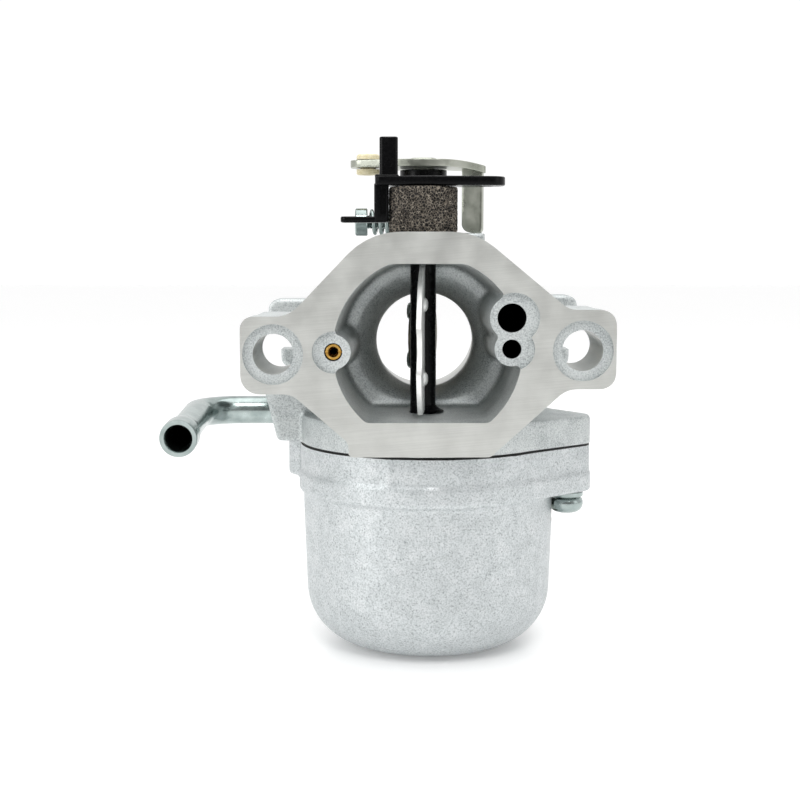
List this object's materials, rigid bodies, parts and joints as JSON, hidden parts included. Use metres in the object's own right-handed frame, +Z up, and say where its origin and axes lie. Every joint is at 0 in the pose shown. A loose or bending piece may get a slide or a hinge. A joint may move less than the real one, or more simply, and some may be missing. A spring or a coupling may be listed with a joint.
{
  "type": "carburetor",
  "caption": "Side-draught float-bowl carburetor for a small engine, with choke, throttle, hinged float and inlet needle, stud-mounted between air cleaner and intake.",
  "frame": {"origin": "centre of the float bowl's flat foot", "axes": "+Z up along the bowl's axis, +Y along the air flow from the air-cleaner face to the engine face, +X to the right seen from the air cleaner"},
  "size_m": [0.0881, 0.0662, 0.1066],
  "materials": {
    "cast_aluminium": "die-cast, machined on the flange faces",
    "bowl_aluminium": "bead-blasted casting",
    "zinc_steel": "bright zinc plate",
    "stainless": "bright",
    "brass": "turned",
    "black_nylon": "moulded, slight gloss",
    "ivory_nylon": "moulded",
    "gasket_rubber": "matte",
    "grey_foam": "open-cell foam",
    "float_resin": "moulded"
  },
  "bodies": {
    "carburetor_body": {"body_casting": "cast_aluminium", "bowl_gasket": "gasket_rubber", "float_bowl": "bowl_aluminium", "bowl_screw_1": "zinc_steel", "bowl_screw_2": "zinc_steel", "bowl_screw_3": "zinc_steel", "bowl_screw_washer_1": "zinc_steel", "bowl_screw_washer_2": "zinc_steel", "bowl_screw_washer_3": "zinc_steel", "fuel_inlet_tube": "zinc_steel", "needle_seat": "brass", "float_hinge_pin": "stainless", "emulsion_tube": "brass", "main_jet": "brass", "pilot_jet": "brass", "air_bleed_jet": "brass", "idle_passage_plug": "brass", "choke_foam_seal": "grey_foam", "throttle_shaft_collar": "black_nylon", "throttle_shaft_seal": "gasket_rubber", "idle_speed_spring": "zinc_steel"},
    "choke": {"choke_lever_shaft": "black_nylon", "choke_plate": "stainless"},
    "throttle": {"throttle_shaft": "zinc_steel", "throttle_plate": "brass", "throttle_plate_screw_1": "zinc_steel", "throttle_plate_screw_2": "zinc_steel", "throttle_lever": "zinc_steel", "throttle_link_bushing": "ivory_nylon"},
    "float": {"float": "float_resin"},
    "needle": {"float_needle": "brass"},
    "idle_screw": {"idle_speed_screw": "zinc_steel"}
  },
  "joints": [
    {"name": "choke_turn", "type": "hinge", "parent": "carburetor_body", "child": "choke", "pos_m": [-0.0014, -0.0145, 0.0647], "axis": [0, 0, 1], "range_deg": [-76, 0]},
    {"name": "throttle_turn", "type": "hinge", "parent": "carburetor_body", "child": "throttle", "pos_m": [-0.0008, 0.02, 0.0647], "axis": [0, 0, 1], "range_deg": [-62, 15]},
    {"name": "float_swing", "type": "hinge", "parent": "carburetor_body", "child": "float", "pos_m": [-0.0203, 0.002, 0.0387], "axis": [0, -1, 0], "range_deg": [0, 8]},
    {"name": "needle_lift", "type": "slide", "parent": "carburetor_body", "child": "needle", "axis": [0, 0, 1], "range_m": [0, 0.00085]},
    {"name": "idle_screw_turn", "type": "hinge", "parent": "carburetor_body", "child": "idle_screw", "pos_m": [-0.0008, 0.009, 0.0902], "axis": [1, 0, 0], "range_deg": [-360, 360]}
  ],
  "couplings": [
    {"joint": "needle_lift", "follows": "float_swing", "m_per_rad": 0.006}
  ]
}
